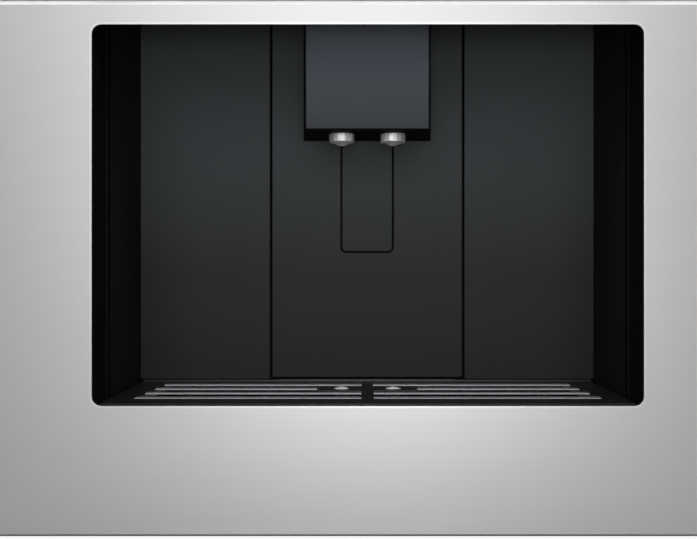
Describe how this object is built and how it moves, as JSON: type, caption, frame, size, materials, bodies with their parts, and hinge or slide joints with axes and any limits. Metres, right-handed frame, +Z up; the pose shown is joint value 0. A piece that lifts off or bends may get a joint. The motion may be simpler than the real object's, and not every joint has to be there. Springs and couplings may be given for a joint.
{
  "type": "built-in coffee machine",
  "caption": "Built-in coffee machine: steel door round a deep cup niche, height-adjustable outlet, drip grate, controls above and works behind.",
  "frame": {"origin": "on the shelf under the middle of the machine, at the bottom centre of its outer box", "axes": "+X to the right seen from the room, +Y into the cabinet so that the steel front faces -Y, +Z up"},
  "size_m": [0.59, 0.405, 0.457],
  "materials": {
    "brushed_steel": "finely brushed along its width",
    "dark_panel": "satin anthracite coating",
    "outlet_cover": "satin anthracite coating, a little lighter",
    "niche_lining": "smooth black",
    "black_plastic": "fine moulded grain",
    "grate_steel": "fine brushed",
    "polished_steel": "polished",
    "zinc_sheet": "bright zinc with a faint spangle",
    "clear_plastic": "clear moulded",
    "white_plastic": "moulded",
    "red_plastic": "moulded",
    "rubber": "matt",
    "display_glass": "black glass look",
    "circuit_board": "solder resist with fine tracks",
    "cast_aluminium": "as cast"
  },
  "bodies": {
    "machine": {"base_pan": "zinc_sheet", "left_side_panel": "zinc_sheet", "right_side_panel": "zinc_sheet", "top_panel": "zinc_sheet", "rear_panel": "zinc_sheet", "power_inlet": "black_plastic", "front_frame": "black_plastic", "niche_left_wall": "niche_lining", "niche_right_wall": "niche_lining", "niche_ceiling": "niche_lining", "niche_back_frame": "black_plastic", "left_back_panel": "dark_panel", "right_back_panel": "dark_panel", "centre_back_panel": "dark_panel", "slot_seal": "rubber", "outlet_rail_left": "polished_steel", "outlet_rail_right": "polished_steel", "drip_tray": "black_plastic", "grounds_container": "black_plastic", "water_tank": "clear_plastic", "milk_container": "clear_plastic", "bean_container": "clear_plastic", "grinder_housing": "cast_aluminium", "brew_frame": "black_plastic", "thermoblock": "cast_aluminium", "pump": "zinc_sheet", "fan_housing": "black_plastic", "control_fascia": "brushed_steel", "fascia_carrier": "black_plastic", "display_glass": "display_glass", "control_board": "circuit_board", "hinge_bracket_lower": "zinc_sheet", "hinge_pin_lower": "polished_steel", "hinge_bracket_upper": "zinc_sheet", "hinge_pin_upper": "polished_steel"},
    "door": {"door_skin": "brushed_steel", "door_frame": "niche_lining", "door_inner_panel": "black_plastic", "door_seal": "rubber", "hinge_leaf_lower": "zinc_sheet", "hinge_leaf_upper": "zinc_sheet"},
    "outlet": {"outlet_carriage": "black_plastic", "outlet_shutter": "dark_panel", "nozzle_left": "polished_steel", "nozzle_right": "polished_steel"},
    "outlet_front": {"outlet_cover": "outlet_cover"},
    "drip_cover": {"drip_plate": "black_plastic", "drip_grate": "grate_steel"},
    "float": {"tray_float": "red_plastic"},
    "tank_lid": {"water_tank_lid": "black_plastic"},
    "milk_lid": {"milk_container_lid": "black_plastic"},
    "bean_lid": {"bean_container_lid": "black_plastic"},
    "burr": {"grinder_burr": "polished_steel"},
    "piston": {"brew_piston": "white_plastic"},
    "fan": {"fan_rotor": "black_plastic"},
    "left_knob": {"knob_left": "polished_steel"},
    "right_knob": {"knob_right": "polished_steel"},
    "button": {"power_button": "polished_steel"}
  },
  "joints": [
    {"name": "door_hinge", "type": "hinge", "parent": "machine", "child": "door", "pos_m": [-0.289, -0.1355, 0.18], "axis": [0, 0, -1], "range_deg": [0, 110]},
    {"name": "outlet_height", "type": "slide", "parent": "machine", "child": "outlet", "axis": [0, 0, -1], "range_m": [0, 0.08]},
    {"name": "outlet_cover_pull", "type": "slide", "parent": "outlet", "child": "outlet_front", "axis": [0, -1, 0], "range_m": [0, 0.025]},
    {"name": "drip_cover_lift", "type": "slide", "parent": "machine", "child": "drip_cover", "axis": [0, 0, 1], "range_m": [0, 0.06]},
    {"name": "float_rise", "type": "slide", "parent": "machine", "child": "float", "axis": [0, 0, 1], "range_m": [0, 0.008]},
    {"name": "tank_lid_lift", "type": "slide", "parent": "machine", "child": "tank_lid", "axis": [0, 0, 1], "range_m": [0, 0.02]},
    {"name": "milk_lid_lift", "type": "slide", "parent": "machine", "child": "milk_lid", "axis": [0, 0, 1], "range_m": [0, 0.015]},
    {"name": "bean_lid_lift", "type": "slide", "parent": "machine", "child": "bean_lid", "axis": [0, 0, 1], "range_m": [0, 0.02]},
    {"name": "burr_spin", "type": "hinge", "parent": "machine", "child": "burr", "pos_m": [-0.228, -0.0425, 0.21], "axis": [0, 0, 1], "continuous": true},
    {"name": "piston_press", "type": "slide", "parent": "machine", "child": "piston", "axis": [0, 0, -1], "range_m": [0, 0.06]},
    {"name": "fan_spin", "type": "hinge", "parent": "machine", "child": "fan", "pos_m": [-0.09, 0.185, 0.39], "axis": [0, 1, 0], "continuous": true},
    {"name": "left_knob_turn", "type": "hinge", "parent": "machine", "child": "left_knob", "pos_m": [-0.165, -0.19, 0.412], "axis": [0, 1, 0], "continuous": true},
    {"name": "right_knob_turn", "type": "hinge", "parent": "machine", "child": "right_knob", "pos_m": [0.165, -0.19, 0.412], "axis": [0, 1, 0], "continuous": true},
    {"name": "button_press", "type": "slide", "parent": "machine", "child": "button", "axis": [0, 1, 0], "range_m": [0, 0.0015], "stiffness_N_per_m": 300}
  ]
}
